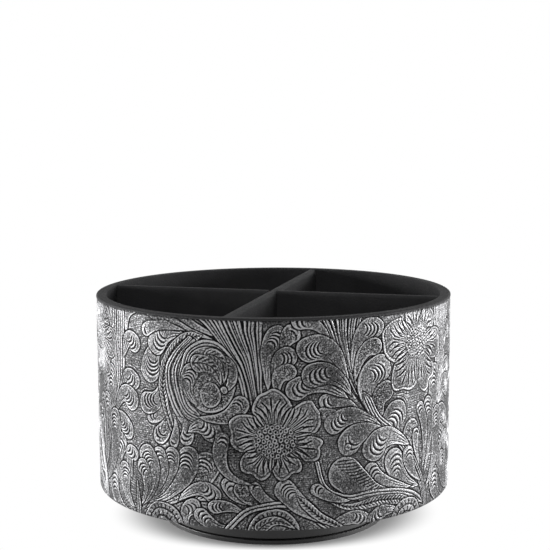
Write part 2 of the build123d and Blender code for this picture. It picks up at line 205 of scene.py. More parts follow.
MOTIFS = (
    # Bands of long lines at the left, and the lobes beside them
    Band(((-82, 92), (-82, 76), (-80.5, 62), (-84, 48), (-94, 40)), 3.2, lines=3, end_width=2.4),
    Band(((-75, 92), (-75.5, 76), (-75.5, 62), (-78.5, 50), (-88, 37)), 3.2, lines=3, end_width=2.4),
    Lobe((-70.5, 75), (-72, 87), (-64, 89), 3.0, 2),
    Lobe((-72.5, 66), (-71, 78), (-65.2, 73.2), 4.4, 3),
    Lobe((-75, 51), (-72, 62), (-66.2, 57.2), 4.4, 3),
    Lobe((-81, 41), (-74, 55), (-67.6, 48.8), 5.0, 4),
    Lobe((-90, 28), (-80, 45), (-71, 35.5), 4.4, 4),
    Lobe((-73, 8), (-84, 20), (-76.5, 28.5), 4.8, 4),
    Lobe((-68, 14), (-72, 29), (-67, 25.6), 3.6, 3),
    Lobe((-66.5, -1), (-84, -2), (-84, 12), 4.6, 4),
    Lobe((-65.5, 2), (-75, 6), (-73.5, 17), 4.4, 3),
    # Acanthus leaf on the herringbone stem
    Lobe((-20, 79), (-36, 84), (-44, 92), 2.6, 2),
    Lobe((-22, 78), (-40, 82.5), (-56, 89), 2.8, 2),
    Lobe((-47, 49), (-44.5, 41), (-50.2, 36.2), 3.9, 2, "matted"),
    Lobe((-48, 54), (-47, 44), (-54.3, 43.4), 3.1, 2),
    Lobe((-48.5, 61), (-48.5, 51), (-56.6, 49.2), 4.9, 4),
    Lobe((-45, 74), (-54, 75), (-55.4, 63.3), 5.6, 4),
    Lobe((-36, 79), (-47, 82), (-51.8, 74.4), 4.8, 4),
    Lobe((-36, 81), (-50, 84.5), (-57.2, 80), 2.9, 1),
    Band(
        ((-29, 80), (-38, 77.5), (-45, 70), (-48.2, 60), (-47.4, 50), (-44, 40)),
        2.5, herringbone=True, end_width=1.4,
    ),
    # Scroll bands that ring the oval leaf, and the leaves under it
    Band(((-28, 42), (-38, 44.5), (-44.4, 56), (-43.6, 68), (-35, 78.5)), 2.3, lines=2, end_width=1.2),
    Band(((-29, 45), (-37, 48.5), (-41.4, 58), (-40.6, 68), (-33, 77.5)), 2.0, lines=2, end_width=1.0),
    Lobe((-43, 45), (-41, 39), (-43.2, 34.5), 2.4, 1),
    Lobe((-42, 45), (-35, 43), (-37, 36.8), 3.2, 2),
    Lobe((-37, 39), (-31, 45), (-25.4, 40.4), 4.5, 4),
    # Fan from the rim down to the flower, and the ring that runs into it
    Fan(((-36, 92), (-22, 80), (-11.5, 66), (-10, 50)), ((-4, 92), (-5.5, 78), (-4.6, 68), (-4.4, 52)), 9),
    Band(
        (
            (-30, 46.5), (-36.5, 51), (-39, 61), (-36, 71.5),
            (-29, 77), (-21.5, 75.4), (-14.6, 66.5), (-10.6, 52),
        ),
        1.5, lines=1, end_width=1.2,
    ),
    Lobe((-32, 46.5), (-19, 43.5), (-13.6, 52.2), 4.0, 2, "matted"),
    # Oval leaf
    Oval((-26.5, 62), (11.2, 14.0), fill="matted"),
    Lobe((-21, 57), (-14, 62), (-19.2, 68.6), 3.5, 2),
    Lobe((-20.5, 60), (-18, 71), (-25.5, 72.2), 3.2, fill="feather"),
    Lobe((-31.5, 50.5), (-39, 57), (-34.8, 64.5), 3.9, 4),
    Lobe((-21.5, 59), (-23, 69.5), (-31, 68.4), 3.8, fill="feather"),
    Oval((-26.2, 55.6), (4.6, 5.4), fill="matted"),
    Oval((-20.4, 58), (1.6, 1.6)),
    # Fan, stem and leaves of the right-hand branch
    Fan(((14, 92), (22, 80), (27, 60), (44, 44)), ((38, 92), (33, 76), (35, 58), (46, 42)), 9),
    Lobe((33, 64), (35, 83), (43.2, 82), 4.8, 4),
    Lobe((34, 60), (36, 75), (43.4, 74), 3.8, 0, "matted"),
    Lobe((45, 43), (34.5, 61), (46, 64.6), 6.2, 4),
    Lobe((50, 39), (41.5, 51), (49.3, 54.6), 4.6, 0, "matted"),
    Lobe((72, 22), (84, 44), (83, 57), 5.0, 4),
    Lobe((75, 8), (88, 20), (86, 38), 5.0, 4),
    Lobe((74, 14), (82, 32), (77.6, 45), 3.8, 3),
    Lobe((73, 16), (78, 34), (71, 44.4), 3.0, 2),
    Lobe((71, 19), (59.5, 32), (65, 36.6), 4.4, 0, "matted"),
    Lobe((71.5, 18), (66.5, 29), (68, 34), 2.5, 1),
    Lobe((63, 29.5), (47, 37), (55.3, 44.2), 6.1, 4),
    Band(((38, 56), (45, 44), (55, 35), (66, 22), (73, 10), (76, -4)), 2.2, lines=3, end_width=2.0),
    # Lobes above the flower
    Lobe((-2, 57), (-3.5, 75), (1.2, 80.5), 4.3, 4),
    Lobe((3.5, 72), (5, 79), (7.4, 81), 3.9, 1, "matted"),
    Lobe((0.5, 60), (0, 72), (6, 72), 3.9, 3),
    Lobe((2, 55), (-0.5, 65), (5.6, 65.8), 3.8, 0, "matted"),
    Lobe((24, 76), (18, 88), (10.6, 86.4), 3.7, 2),
    Lobe((38, 47), (27, 55.5), (21.6, 53.2), 3.2, 2),
    Lobe((32, 53), (18, 64.5), (9.2, 58.4), 4.7, 3),
    Lobe((31, 57), (26, 78), (14.8, 75), 5.6, 4),
    Lobe((33, 54), (26, 67), (16.2, 64.2), 5.2, 4),
    # Lobes between the flower and the branch
    Lobe((34, 44), (26, 48), (20.5, 48.6), 2.6, 0, "matted"),
    Lobe((48, 40), (33, 50.5), (25, 43.8), 4.5, 4),
    Lobe((50, 37.5), (37, 43), (31.6, 35.2), 5.4, 2),
    Oval((31, 33.6), (1.6, 1.6)),
    Lobe((64, 29), (49, 40), (43.4, 31.6), 5.8, 4),
    Lobe((72, 12), (63, 19), (62.4, 25.8), 3.6, 2),
    Lobe((71, 10), (55, 16), (54, 25), 4.9, 4),
    Lobe((66, 11.5), (47, 14.5), (42.4, 22), 3.8, 3),
    Lobe((58, 11), (43, 9), (29.6, 22.6), 7.2, fill="slashed"),
    Band(((74, 2), (62, 9.6), (46, 12.4), (30, 12.6), (21, 18), (17, 29)), 1.5, lines=1, end_width=0.9),
    Band(((73, -2), (60, 6.6), (46, 8.8), (32, 8.2), (19, 14)), 2.3, herringbone=True, end_width=1.0),
    Lobe((33, 11), (24, 11.5), (17.6, 16.8), 2.8, 2),
    # Lower left cluster of leaves
    Lobe((-60, 3), (-44, 15), (-28.5, 15.2), 4.2, 3),
    Lobe((-56, 6), (-33, 14), (-27.4, 26.4), 5.6, 3, "matted"),
    Lobe((-58, 6), (-37, 16), (-36.2, 28.6), 5.1, 4),
    Lobe((-59, 6), (-44, 17), (-44, 28.8), 3.8, 3),
    Lobe((-60, 6), (-45, 18), (-50.6, 28), 3.4, 2),
    Lobe((-61.5, 4), (-50, 18), (-57.8, 26.6), 5.2, 4),
    Lobe((-62, 4), (-55, 16), (-60.8, 21.2), 3.5, 3),
    Band(((-63.5, -3), (-63.4, 5), (-64.6, 14)), 1.4, lines=1),
    # Shells and leaves along the lower edge
    Lobe((-42, 9), (-32, 20), (-25.4, 14.2), 3.8, 3),
    Lobe((-36, -4), (-41, 6), (-34, 8.6), 3.6, 3),
    Oval((-49, -1.5), (10.5, 10.0), rings=2, ticks=26),
    Lobe((-15, 1), (-25, -1), (-30.6, 5), 3.4, 3),
    Lobe((-11, 6), (-18, 11.5), (-24.6, 9), 3.0, 3),
    Lobe((18, -3), (30, 6), (38, 2.4), 3.4, 3),
    Lobe((58, 2), (50, 7), (44, 1.4), 3.6, 3),
    Lobe((-4, 11.5), (-16, 11), (-19, 19), 3.0, 2),
    Lobe((2, 11.5), (-10, 11), (-13.6, 17), 3.2, 0, "matted"),
    Lobe((12, 8.5), (-4, 10), (-7.8, 18.2), 2.6, 1),
    Band(((-22, -3), (-12, 7.5), (0, 11.2), (12, 8.2), (22, 0)), 1.4, lines=1, end_width=1.0),
    Lobe((28, 1), (12, 7), (4.6, 17.2), 4.6, 4),
    Band(((9, 15), (14, 9.5), (20, 4.6), (29, -1)), 1.9, herringbone=True, end_width=1.4),
    Oval((0, -1.5), (11.2, 11.2), rings=1, ticks=30),
    Lobe((10, 0), (0, 8), (-5.5, 1.6), 2.8, fill="feather"),
    Oval((62, -2), (9.5, 9.5), rings=2, ticks=22),
    # Leaf round the flower's lower left
    Lobe((-8, 19.5), (-26, 21), (-21.2, 37.4), 3.3, 2),
    # Flowers
    Flower((68, 73), ((130, 21.5), (208, 23), (270, 23), (322, 20), (380, 18), (436, 17)), (7.6, 6.6)),
    Flower(
        (0.5, 37.5), ((63, 21.4), (128, 19.8), (200, 18.5), (262, 17), (325, 20), (370, 22.5)), (8.6, 6.8),
    ),
)


def smooth(edge0, edge1, x):
    """Hermite step from 0 at edge0 to 1 at edge1."""
    t = np.clip((x - edge0) / (edge1 - edge0), 0, 1)
    return t * t * (3 - 2 * t)


def bell(x, width):
    """Bell curve of this half width round x = 0."""
    return np.exp(-((x / width) ** 2))


def scored(x, width):
    """Depth of a scored line at x = 0: a cut with a burr thrown up along each side."""
    return bell(x, width) - BURR * bell(np.abs(x) - 2 * width, 0.9 * width)


def to_nearest(x, pitch):
    """Signed distance from x to the nearest multiple of the pitch."""
    return x - pitch * np.round(x / pitch)


def bezier(points, count=25):
    """Points of a Bezier curve: Bernstein weights times its control points."""
    control = np.asarray(points, float)
    n = len(control) - 1
    t = np.linspace(0, 1, count)[:, None]
    weights = [math.comb(n, k) * t**k * (1 - t) ** (n - k) for k in range(n + 1)]
    return sum(w * p for w, p in zip(weights, control))


def through(points, count=10):
    """Points of a Catmull-Rom curve through the given points, this many a span."""
    p = np.asarray(points, float)
    p = np.vstack([2 * p[0] - p[1], p, 2 * p[-1] - p[-2]])
    t = np.linspace(0, 1, count, endpoint=False)[:, None]
    spans = [
        b + (c - a) / 2 * t + (2 * a - 5 * b + 4 * c - d) / 2 * t**2 + (3 * b - a - 3 * c + d) / 2 * t**3
        for a, b, c, d in zip(p, p[1:], p[2:], p[3:])
    ]
    return np.vstack([*spans, p[-2:-1]])


def box_blur(field, reach, passes=2):
    """Running mean of a field that wraps round its columns and holds its first and last rows."""
    for _ in range(passes):
        for axis, mode in ((1, "wrap"), (0, "edge")):
            pad = [(0, 0), (0, 0)]
            pad[axis] = (reach + 1, reach)
            total = np.cumsum(np.pad(field, pad, mode=mode), axis)
            size = field.shape[axis]
            ahead = np.take(total, np.arange(size) + 2 * reach + 1, axis)
            behind = np.take(total, np.arange(size), axis)
            field = (ahead - behind) / (2 * reach + 1)
    return field


def drift(draw, shape, reach):
    """A slow random field that wraps round its columns, with a spread of 1."""
    field = box_blur(draw.normal(size=shape), reach)
    return field / field.std()


class Tooling:
    """The unrolled skin's height, one tile wide, which motifs are pressed into one over another."""

    def __init__(self):
        self.du = TILE_WIDTH / TILE_COLUMNS
        self.dv = SKIN_HEIGHT / WALL_ROWS
        shape = (WALL_ROWS + 1, TILE_COLUMNS)
        draw = np.random.default_rng(SEED)
        noise = draw.normal(size=shape)
        steps = ((0, 0), (1, 0), (0, 1), (1, 1))
        sway_reach, firm_reach, hatch_reach = 12, 14, 30
        firm_spread, weakest, firmest = 0.45, 0.25, 1.6
        self.matting = MATTING * sum(np.roll(noise, step, (0, 1)) for step in steps) / 2
        self.sway = [SWAY * drift(draw, shape, sway_reach) for _ in range(2)]
        self.firm = np.clip(1 + firm_spread * drift(draw, shape, firm_reach), weakest, firmest)
        hatched = np.arange(shape[0])[:, None] * self.dv + HATCH_DRIFT * drift(draw, shape, hatch_reach)
        self.ground = GROUND + self.matting + HATCH * np.cos(2 * math.pi * hatched / HATCH_PITCH)
        self.height = self.ground.copy()
        self.nearest = np.full(shape, -9.0)

    def window(self, low, high, margin=2.5):
        """Rows and wrapped columns of a box on the tile, and the places of their cells."""
        span = (np.array((low[0] - margin, high[0] + margin)) + TILE_WIDTH / 2) / self.du
        columns = np.arange(int(span[0]) - 1, int(span[1]) + 2)
        first = max(0, int((low[1] - margin) / self.dv))
        last = min(WALL_ROWS, int((high[1] + margin) / self.dv) + 1)
        rows = np.arange(first, last + 1)
        u, v = np.meshgrid(columns * self.du - TILE_WIDTH / 2, rows * self.dv)
        cells = np.ix_(rows, columns % TILE_COLUMNS)
        return cells, u + self.sway[0][cells], v + self.sway[1][cells]

    def press(self, cells, inside, marks, fill="plain", lift=0.0):
        """Lays one motif over what is there.

        inside is the distance within its outline. The motif swells by a crown from its edge; a cut runs
        along the outline with a burr inside it, and the ground outside is bevelled down to it.
        """
        self.nearest[cells] = np.maximum(self.nearest[cells], inside)
        old, grain = self.height[cells], self.matting[cells]
        body = lift + CROWN * (1 - np.exp(-np.maximum(inside, 0) / CROWN_REACH)) + marks + grain
        if fill == "matted":
            body = body + smooth(0.8, 1.4, inside) * self.ground[cells]
        cover = smooth(-0.25, 0.25, inside)
        bevel = BEVEL * np.exp(np.minimum(inside, 0) / BEVEL_REACH) * (1 - cover)
        burr = BURR * bell(inside - 2 * CUT_WIDTH, 0.9 * CUT_WIDTH)
        cut = CUT * self.firm[cells] * (bell(inside, CUT_WIDTH) - burr)
        new = old * (1 - cover) + body * cover - bevel - cut
        self.height[cells] = np.maximum(new, DEEPEST)

    @staticmethod
    def along(path, u, v):
        """For each cell: how far along a path its nearest point is, its distance, its side, the length."""
        start, step = path[:-1], np.diff(path, axis=0)
        length = np.hypot(*step.T)
        before = np.concatenate([[0], np.cumsum(length)[:-1]])
        unit = step / length[:, None]
        du, dv = u[..., None] - start[:, 0], v[..., None] - start[:, 1]
        run = du * unit[:, 0] + dv * unit[:, 1]
        side = dv * unit[:, 0] - du * unit[:, 1]
        held = np.clip(run, 0, length)
        gap = np.hypot(run - held, side)
        near = gap.argmin(-1)[..., None]
        first, last = near == 0, near == len(start) - 1
        fields = (run, held, gap, side, np.broadcast_to(before, run.shape))
        run, held, gap, side, before = (np.take_along_axis(field, near, -1) for field in fields)
        reached = np.where(last, np.maximum(run, held), np.where(first, np.minimum(run, held), held))
        return (before + reached)[..., 0], gap[..., 0], side[..., 0], length.sum()

    def beside(self, path, margin):
        """The cells round a path, their places, and where they lie along and beside it."""
        cells, u, v = self.window(path.min(0) - margin, path.max(0) + margin)
        return cells, (u, v), *self.along(path, u, v)

    def lobe(self, m):
        """A lobe: half width grows along the rib to a round tip, with crescents stacked behind the plain tip.

        Each crescent is a part of a circle that bulges towards the tip, thick in its middle and thin at its
        ends, on the hollow side of the bend. Their pitch differs by a sine of the lobe's own size. A full
        lobe has ribs from its root too. A feathered lobe has slanted barbs on both sides of its rib, and a
        slashed one on the hollow side.
        """
        path = bezier((m.root, m.bend, m.tip))
        cells, (u, v), x, gap, s, total = self.beside(path, m.width)
        t = x / total
        half = m.width * (ROOT_SHARE * smooth(-0.05, 0.25, t) + (1 - ROOT_SHARE) * smooth(0, 1, t))
        inside = half - gap
        into, out_of = np.subtract(m.bend, m.root), np.subtract(m.tip, m.bend)
        turn = math.copysign(1, into[0] * out_of[1] - into[1] * out_of[0])
        ahead = out_of / np.hypot(*out_of)
        du, dv = u - m.tip[0], v - m.tip[1]
        across = dv * ahead[0] - du * ahead[1] - turn * CRESCENT_SHIFT * m.width
        pitch = CRESCENT_PITCH * (1 + CRESCENT_SPREAD * math.sin(7 * m.width + total))
        room = 1 + int(CRESCENT_RUN * total / pitch)
        thin, thicker = 0.4, 1.05
        marks = np.zeros_like(inside)
        for k in range(min(m.crescents, MOST_CRESCENTS, room)):
            radius = CRESCENT * m.width * (1 - CRESCENT_SHRINK * k)
            onward = du * ahead[0] + dv * ahead[1] + (k * pitch + radius - CRESCENT_LEAD * m.width)
            reach = np.hypot(onward, across)
            bulge = np.maximum(onward, 0) / np.maximum(reach, 1e-6)
            stroke = scored(reach - radius, MARK_WIDTH * (thin + thicker * bulge))
            marks -= MARK * stroke * smooth(0.1, 0.45, bulge)
        if m.crescents >= FULL_LOBE:
            for share, end in LOBE_RIBS:
                rib = smooth(0.05, 0.2, t) * smooth(end, end - 0.25, t) * smooth(0.7, 1.3, half)
                marks -= MARK * rib * scored(s - turn * share * half, 0.7 * MARK_WIDTH)
        if m.fill in ("feather", "slashed"):
            barb_pitch, barb_width = 2.0, 0.36
            barbs = bell(to_nearest(x + SLANT * np.abs(s), barb_pitch), barb_width) * smooth(0.3, 0.8, gap)
            slashed = m.fill == "slashed"
            marks -= MARK * (barbs * (s * turn > 0) if slashed else barbs + bell(s, MARK_WIDTH))
        self.press(cells, inside, marks * smooth(0.6, 1.1, inside), m.fill)

    def band(self, m):
        """A band: even half width that narrows to its end, scored along or notched across."""
        cells, _, x, gap, s, total = self.beside(through(m.points), m.width)
        width = (m.width + (m.end_width - m.width) * smooth(0.45, 1, x / total)) * smooth(-1, 5, x)
        inside = width - gap
        marks = np.zeros_like(inside)
        for k in range(m.lines):
            share = (k + 1) / (m.lines + 1) * 2 - 1
            marks -= MARK * scored(s - share * width, MARK_WIDTH)
        if m.herringbone:
            notch_pitch, notch_width, spine_width = 1.7, 0.32, 0.28
            notches = bell(to_nearest(x + SLANT * np.abs(s), notch_pitch), notch_width)
            marks -= MARK * (notches + bell(s, spine_width))
        self.press(cells, inside, marks * smooth(0.3, 0.8, inside))

    def fan(self, m):
        """A fan: each blade runs up the curve a share of the way from the left edge to the right one.

        The blades stray from even shares by a sine. Each has a vein along it and slanted ticks on one side.
        """
        left, right = np.asarray(m.left, float), np.asarray(m.right, float)
        spread = np.hypot(*(bezier(right) - bezier(left)).T) / m.blades / 2
        thinnest, thickest, overlap, margin = 0.45, 2.6, 0.05, 3
        tick_slant, tick_pitch, tick_width, tick_depth = 1.6, 2.1, 0.33, 0.8
        stray, stray_step = 0.22, 2.4
        half = np.clip(spread, thinnest, thickest)
        for k in range(m.blades):
            share = (k + 0.5 + stray * math.sin(stray_step * k)) / m.blades
            cells, _, x, gap, s, total = self.beside(bezier(left + (right - left) * share), margin)
            width = np.interp(x / total, np.linspace(0, 1, len(spread)), half) + overlap
            inside = width - gap
            ticks = bell(to_nearest(x + tick_slant * s, tick_pitch), tick_width)
            ticks = ticks * smooth(0.1, 0.6, s) * smooth(0.9, 1.3, width)
            vein = scored(s + 0.1 * width, MARK_WIDTH) * smooth(0.7, 1.1, width)
            self.press(cells, inside, -MARK * (tick_depth * ticks + vein) * smooth(0.25, 0.7, inside))

    def oval(self, m):
        """An oval: elliptic distance from its edge, rings at even depths, ticks between the rings."""
        centre, axes = np.asarray(m.centre, float), np.asarray(m.axes, float)
        cells, u, v = self.window(centre - axes, centre + axes)
        x, y = (u - centre[0]) / axes[0], (v - centre[1]) / axes[1]
        rho = np.maximum(np.hypot(x, y), 1e-6)
        inside = (1 - rho) * rho / np.maximum(np.hypot(x / axes[0], y / axes[1]), 1e-6)
        arc = np.arctan2(y, x) * axes.mean()
        ring_pitch, ring_width = 3.0, 0.34
        marks = np.zeros_like(inside)
        for k in range(m.rings):
            marks -= MARK * bell(inside - ring_pitch * (k + 1), ring_width)
        if m.ticks:
            pitch = 2 * math.pi * axes.mean() / m.ticks
            outer = smooth(0.9, 1.4, inside) * smooth(2.9, 2.3, inside)
            inner = smooth(3.8, 4.3, inside) * smooth(6.6, 6.0, inside)
            for spacing, tick_width, ring in ((pitch, 0.35, outer), (1.7 * pitch, 0.5, inner)):
                marks -= MARK * bell(to_nearest(arc, spacing), tick_width) * ring
        self.press(cells, inside, marks, m.fill)

    @staticmethod
    def petal_veins(q, half, reach, r):
        """Depth of a petal's veins, which run out along even shares of its angle and hook at their ends."""
        vein_pitch, edge_share, hook_share = 1.1, 0.78, 0.15
        tip_share, droop, every_other = 0.84, 0.16, 0.13
        thin, thicker = 0.16, 0.16
        veins = 2 * round(half * reach * 0.5 / vein_pitch) + 1
        cut = 0
        for k, share in enumerate(np.linspace(-edge_share, edge_share, veins)):
            tip = reach * (tip_share - droop * abs(share) - every_other * (k % 2))
            hook = hook_share * np.sign(share) * smooth(tip - 4.5, tip, r) ** 2
            gap = (q - share - hook) * half * r
            width = thin + thicker * smooth(tip - 8, tip - 2, r)
            cut = cut + scored(gap, width) * smooth(tip + 0.5, tip - 1.0, r)
        return cut

    @staticmethod
    def beads(x, y):
        """Height of a hexagonal lattice of beads, each strayed from its place and with a seed pit."""
        pitch, stray = 2.2, 0.35
        bead, bead_radius, bead_width = 0.40, 0.68, 0.32
        pit, pit_width, sunk = 0.34, 0.38, 0.14
        rise = pitch * math.sqrt(3)
        lattices = []
        for dx, dy in ((0, 0), (pitch / 2, rise / 2)):
            i, j = np.round((x - dx) / pitch), np.round((y - dy) / rise)
            off_x = stray * np.sin(12.99 * i + 78.23 * j + dx)
            off_y = stray * np.sin(39.35 * i + 11.14 * j + dx)
            lattices.append(np.hypot(x - dx - i * pitch - off_x, y - dy - j * rise - off_y))
        gap = np.minimum(*lattices)
        return bead * bell(gap - bead_radius, bead_width) - pit * bell(gap, pit_width) - sunk

    def flower(self, m):
        """A flower: the outline is a polar curve with one rounded, dented hump a petal.

        A petal rises to one side, is parted from the next by a cut and has a line inside its edge and veins.
        The middle is beaded.
        """
        centre = np.asarray(m.centre, float)
        furthest = max(reach for _, reach in m.petals)
        cells, u, v = self.window(centre - furthest, centre + furthest)
        x, y = u - centre[0], v - centre[1]
        r, angle = np.hypot(x, y), np.degrees(np.arctan2(y, x))
        eye = np.hypot(x / m.eye[0], y / m.eye[1])
        inside, marks, lift = np.full_like(r, -99.0), np.zeros_like(r), np.zeros_like(r)
        starts = [start for start, _ in m.petals]
        ends = [*starts[1:], starts[0] + 360]
        round_off, power, tilt = 0.30, 2.6, 0.06
        ripple, dent, dent_place, dent_width = 0.035, 0.06, 0.15, 0.22
        parting_width, edge_line, line_depth, vein_depth = 0.28, 1.4, 0.4, 1.1
        for index, ((start, reach), end) in enumerate(zip(m.petals, ends)):
            half = (end - start) / 2
            off = (angle - start - half + 180) % 360 - 180
            own = np.abs(off) <= half
            q = off / half
            dents = ripple * np.cos(5 * q + index) - dent * bell(q - dent_place, dent_width)
            shape = 1 - round_off * np.abs(q) ** power + dents
            slope = power * round_off * np.abs(q) ** (power - 1) / math.radians(half) * reach
            edge = (reach * shape - r) / np.sqrt(1 + (slope / np.maximum(r, 1)) ** 2)
            inside = np.where(own, edge, inside)
            lift = np.where(own, tilt * q * smooth(3, 12, r), lift)
            side = np.radians(half - np.abs(off)) * r
            cut = CUT * scored(side, parting_width) + line_depth * MARK * scored(edge - edge_line, MARK_WIDTH)
            cut = cut + vein_depth * MARK * self.petal_veins(q, math.radians(half), reach, r)
            marks = np.where(own, -cut * smooth(0.95, 1.2, eye), marks)
        middle = smooth(1.08, 0.96, eye)
        self.press(cells, inside, marks * (1 - middle) + self.beads(x, y) * middle, lift=lift)

    def lay(self, motifs):
        """Presses the motifs in order, later ones over earlier ones, and echoes them on the ground.

        The echoes are lines at an even distance outside the outlines, where the tool was held firmly.
        """
        ways = {Lobe: self.lobe, Band: self.band, Fan: self.fan, Flower: self.flower, Oval: self.oval}
        for motif in motifs:
            ways[type(motif)](motif)
        echo = scored(self.nearest + ECHO, 0.8 * MARK_WIDTH) * smooth(1.05, 1.4, self.firm)
        return self.height - 0.6 * MARK * echo


def unit(vectors):
    """Vectors scaled to length 1."""
    return vectors / np.linalg.norm(vectors, axis=-1, keepdims=True)


def fill_mesh(name, points, quads, triangles=None):
    """A mesh from whole arrays of points, four-sided faces and, where given, triangles."""
    mesh = bpy.data.meshes.new(name)
    triangles = np.zeros((0, 3), int) if triangles is None else triangles
    corners = np.concatenate([quads.ravel(), triangles.ravel()]).astype(np.int32)
    starts = np.concatenate([
        np.arange(len(quads)) * 4,
        quads.size + np.arange(len(triangles)) * 3,
    ]).astype(np.int32)
    mesh.vertices.add(len(points))
    mesh.vertices.foreach_set("co", np.ascontiguousarray(points, np.float32).ravel())
    mesh.loops.add(len(corners))
    mesh.loops.foreach_set("vertex_index", corners)
    mesh.polygons.add(len(starts))
    mesh.polygons.foreach_set("loop_start", starts)
    mesh.polygons.foreach_set("use_smooth", np.ones(len(starts), bool))
    mesh.update(calc_edges=True)
    return mesh


def grid_quads(rows, columns, wrap_rows=False, wrap_columns=False):
    """Corner indices of a grid's cells: a place, the one ahead along its row, then both in the next row."""
    i, j = np.meshgrid(
        np.arange(rows - (not wrap_rows)), np.arange(columns - (not wrap_columns)), indexing="ij",
    )
    up, on = (i + 1) % rows, (j + 1) % columns
    corners = ((i, j), (i, on), (up, on), (up, j))
    return np.stack([row * columns + column for row, column in corners], -1).reshape(-1, 4)


def add_object(name, data):
    """A new object of this data in the scene."""
    obj = bpy.data.objects.new(name, data)
    bpy.context.scene.collection.objects.link(obj)
    return obj


def add_piece(name, mesh, material, body, slot, *nodes):
    """Adds a mesh as a piece that rides on a body, stands for CAD nodes and takes a material; its slot is not
    used.
    """
    piece = add_object(name, mesh)
    mesh.materials.append(material)
    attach(piece, body)
    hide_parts(*nodes)


class Tree:
    """Writes nodes into a material's or group's tree; a socket given as an input is linked."""

    def __init__(self, tree):
        self.tree = tree

    def add(self, kind, inputs=None, **settings):
        """A node of this kind, with its settings and inputs."""
        node = self.tree.nodes.new(kind)
        for name, value in settings.items():
            setattr(node, name, value)
        for key, value in (inputs or {}).items():
            self.give(node.inputs[key], value)
        return node

    def give(self, socket, value):
        """Links an input to another node's output, or sets it to a value."""
        if isinstance(value, bpy.types.NodeSocket):
            self.link(value, socket)
        else:
            socket.default_value = value

    def link(self, source, end):
        self.tree.links.new(source, end)

    def math(self, operation, *values):
        return self.add("ShaderNodeMath", dict(enumerate(values)), operation=operation).outputs[0]

    def vector(self, operation, *values):
        """Vector arithmetic. A length or a dot product comes out as a value."""
        node = self.add("ShaderNodeVectorMath", dict(enumerate(values)), operation=operation)
        return node.outputs["Value" if operation in ("LENGTH", "DOT_PRODUCT") else "Vector"]

    def span(self, value, from_low, from_high, to_low=0.0, to_high=1.0):
        """A value mapped from one range to another and kept within it."""
        inputs = {0: value, 1: from_low, 2: from_high, 3: to_low, 4: to_high}
        return self.add("ShaderNodeMapRange", inputs).outputs[0]

    def blend(self, factor, first, second):
        """One colour mixed into another."""
        inputs = {0: factor, 6: first, 7: second}
        return self.add("ShaderNodeMix", inputs, data_type="RGBA").outputs[2]

    def scale(self, colour, factor):
        """A colour or vector times a factor."""
        return self.add("ShaderNodeVectorMath", {0: colour, "Scale": factor}, operation="SCALE").outputs[0]

    def noise(self, place, scale, detail=2.0, roughness=0.5):
        inputs = {"Vector": place, "Scale": scale, "Detail": detail, "Roughness": roughness}
        return self.add("ShaderNodeTexNoise", inputs).outputs["Fac"]

    def place(self):
        return self.add("ShaderNodeTexCoord").outputs["Object"]

    def bump(self, height, strength, distance):
        inputs = {"Height": height, "Strength": strength, "Distance": distance}
        return self.add("ShaderNodeBump", inputs).outputs["Normal"]


def effect_group(name, inputs, outputs):
    """An empty shader group with float inputs of these defaults and these float outputs, and its ends."""
    group = bpy.data.node_groups.new(name, "ShaderNodeTree")
    group.interface.new_socket("Place", in_out="INPUT", socket_type="NodeSocketVector")
    for label, default in inputs.items():
        socket = group.interface.new_socket(label, in_out="INPUT", socket_type="NodeSocketFloat")
        socket.default_value = default
    for label in outputs:
        group.interface.new_socket(label, in_out="OUTPUT", socket_type="NodeSocketFloat")
    tree = Tree(group)
    return group, tree, tree.add("NodeGroupInput").outputs, tree.add("NodeGroupOutput").inputs


def pebble_group():
    """Leatherette grain: rounded cells with creases between them, and slow unevenness over it all."""
    defaults = {"Scale": 900.0, "Crease": 0.5}
    group, tree, given, out = effect_group("Pebble grain", defaults, ("Height", "Wear"))
    warp = tree.add("ShaderNodeTexNoise", {"Vector": given["Place"], "Scale": 400.0, "Detail": 2.0})
    centred = tree.vector("SUBTRACT", warp.outputs["Color"], (0.5, 0.5, 0.5))
    moved = tree.vector("ADD", given["Place"], tree.scale(centred, 0.9 * MM))
    inputs = {"Vector": moved, "Scale": given["Scale"]}
    cells = tree.add("ShaderNodeTexVoronoi", inputs, feature="DISTANCE_TO_EDGE")
    pebble = tree.span(cells.outputs["Distance"], 0.0, 0.28)
    fine = tree.noise(given["Place"], 2600.0)
    crease = tree.math("MULTIPLY", pebble, given["Crease"])
    tree.link(tree.math("ADD", crease, tree.math("MULTIPLY", fine, 0.35)), out["Height"])
    tree.link(tree.noise(given["Place"], 55.0, detail=4.0, roughness=0.6), out["Wear"])
    return group


def moulded_group():
    """Spark-eroded mould texture: fine even noise, with faint cloudiness."""
    group, tree, given, out = effect_group("Moulded texture", {"Scale": 1800.0}, ("Height", "Cloud"))
    tree.link(tree.noise(given["Place"], given["Scale"], detail=3.0, roughness=0.6), out["Height"])
    tree.link(tree.noise(given["Place"], 40.0, detail=3.0), out["Cloud"])
    return group


def fibre_group():
    """Board and nap fibres: noise drawn out in two directions and combined."""
    group, tree, given, out = effect_group("Short fibres", {"Scale": 300.0}, ("Height", "Tone"))
    strands = []
    for stretch in ((1.0, 7.0, 1.0), (7.0, 1.0, 3.0)):
        drawn = tree.vector("MULTIPLY", given["Place"], stretch)
        strands.append(tree.noise(drawn, given["Scale"], detail=3.0, roughness=0.65))
    tree.link(tree.math("MAXIMUM", *strands), out["Height"])
    tree.link(tree.math("MULTIPLY", *strands), out["Tone"])
    return group


# Main fills these, because groups can only be made once the script runs
EFFECTS = {}


def emptied_tree(owner):
    """The node tree of a material or world, with its nodes taken out."""
    owner.use_nodes = True
    owner.node_tree.nodes.clear()
    return Tree(owner.node_tree)


